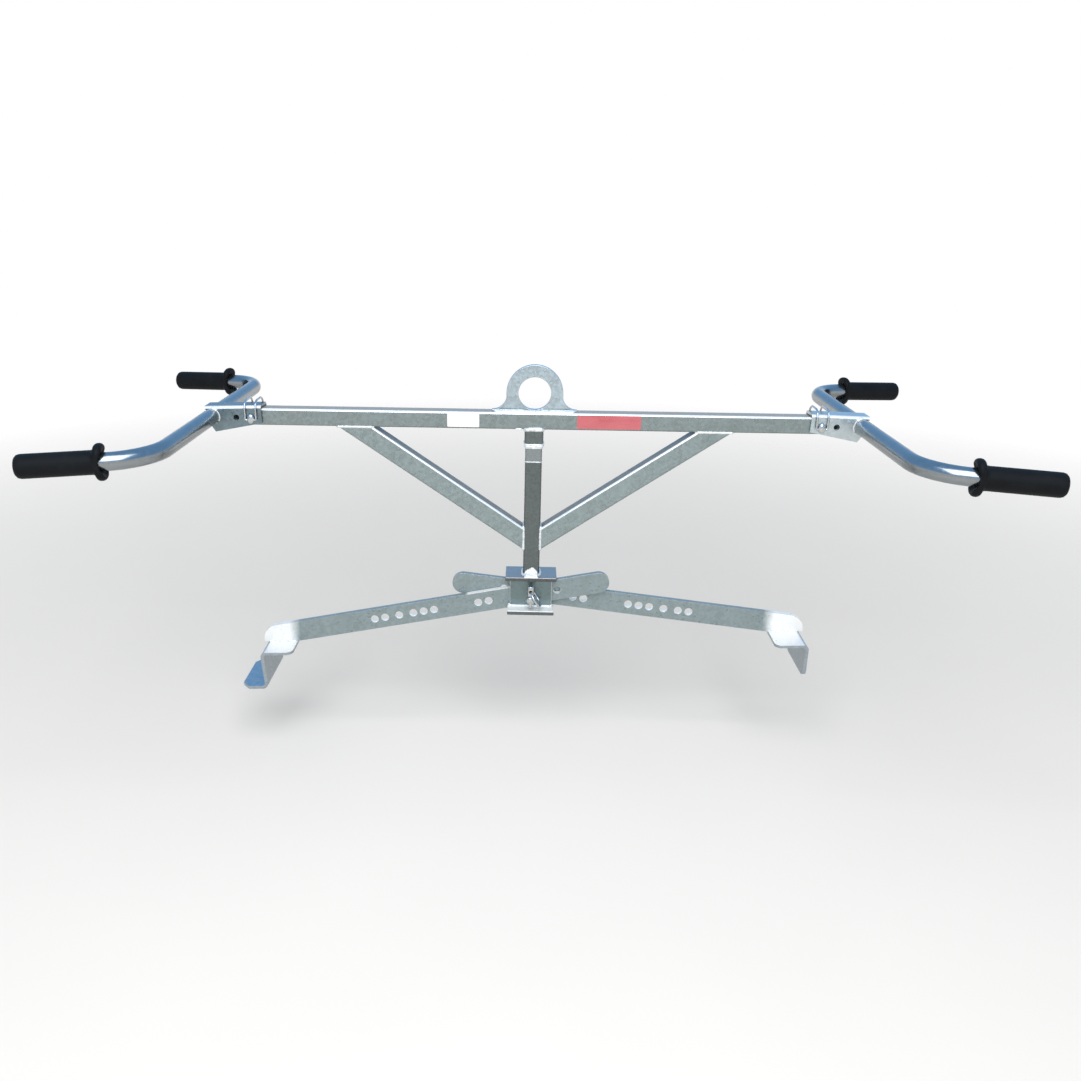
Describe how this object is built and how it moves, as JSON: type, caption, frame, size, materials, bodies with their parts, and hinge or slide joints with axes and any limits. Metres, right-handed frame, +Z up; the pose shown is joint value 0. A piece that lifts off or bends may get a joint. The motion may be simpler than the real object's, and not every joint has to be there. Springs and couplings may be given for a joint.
{
  "type": "kerb lifter",
  "caption": "Galvanised kerb lifter: a tube beam with a lifting eye, pin-locked carrying handles at its ends and a braced post whose pinned tong arms grip a kerbstone end to end.",
  "frame": {"origin": "centre of the lifting eye's hole", "axes": "+X along the beam to the right, +Y to the rear through the lifting eye's hole, +Z up"},
  "size_m": [1.502, 0.7006, 0.6148],
  "materials": {
    "galvanised_tube": "hot-dip galvanised, satin",
    "galvanised_plate": "hot-dip galvanised, satin",
    "zinc_plated": "bright zinc plate",
    "rubber_grip": "matt black",
    "weld_bead": "galvanised weld",
    "label_white": "blank film label",
    "label_red": "blank film label"
  },
  "bodies": {
    "frame": {"cross_beam": "galvanised_tube", "lifting_eye": "galvanised_plate", "post_socket": "galvanised_tube", "centre_post": "galvanised_tube", "left_brace": "galvanised_tube", "right_brace": "galvanised_tube", "head_plate": "galvanised_plate", "front_cheek": "galvanised_plate", "rear_cheek": "galvanised_plate", "front_foot": "galvanised_plate", "rear_foot": "galvanised_plate", "pivot_pin": "zinc_plated", "linch_pin": "zinc_plated", "left_bracket": "galvanised_plate", "left_handle_tube": "galvanised_tube", "left_front_leg": "galvanised_tube", "left_rear_leg": "galvanised_tube", "left_front_grip": "rubber_grip", "left_rear_grip": "rubber_grip", "left_lock_pin": "zinc_plated", "right_bracket": "galvanised_plate", "right_handle_tube": "galvanised_tube", "right_front_leg": "galvanised_tube", "right_rear_leg": "galvanised_tube", "right_front_grip": "rubber_grip", "right_rear_grip": "rubber_grip", "right_lock_pin": "zinc_plated"},
    "left_tong": {"left_arm": "galvanised_plate", "left_jaw": "galvanised_plate"},
    "right_tong": {"right_arm": "galvanised_plate", "right_jaw": "galvanised_plate"},
    "linch_ring": {"linch_ring": "zinc_plated"},
    "left_bail": {"left_bail": "zinc_plated"},
    "right_bail": {"right_bail": "zinc_plated"}
  },
  "joints": [
    {"name": "left_arm_swing", "type": "hinge", "parent": "frame", "child": "left_tong", "pos_m": [0, 0, -0.3762], "axis": [0, 1, 0], "range_deg": [-2.3, 24.7]},
    {"name": "right_arm_swing", "type": "hinge", "parent": "frame", "child": "right_tong", "pos_m": [0, 0, -0.3762], "axis": [0, -1, 0], "range_deg": [-6.9, 20.1]},
    {"name": "linch_ring_lift", "type": "hinge", "parent": "frame", "child": "linch_ring", "pos_m": [0, -0.0365, -0.359], "axis": [0, -1, 0], "range_deg": [0, 75]},
    {"name": "left_bail_swing", "type": "hinge", "parent": "frame", "child": "left_bail", "pos_m": [-0.4955, -0.0234, -0.0505], "axis": [1, 0, 0], "range_deg": [0, 175]},
    {"name": "right_bail_swing", "type": "hinge", "parent": "frame", "child": "right_bail", "pos_m": [0.4955, -0.0234, -0.0505], "axis": [1, 0, 0], "range_deg": [0, 175]}
  ]
}
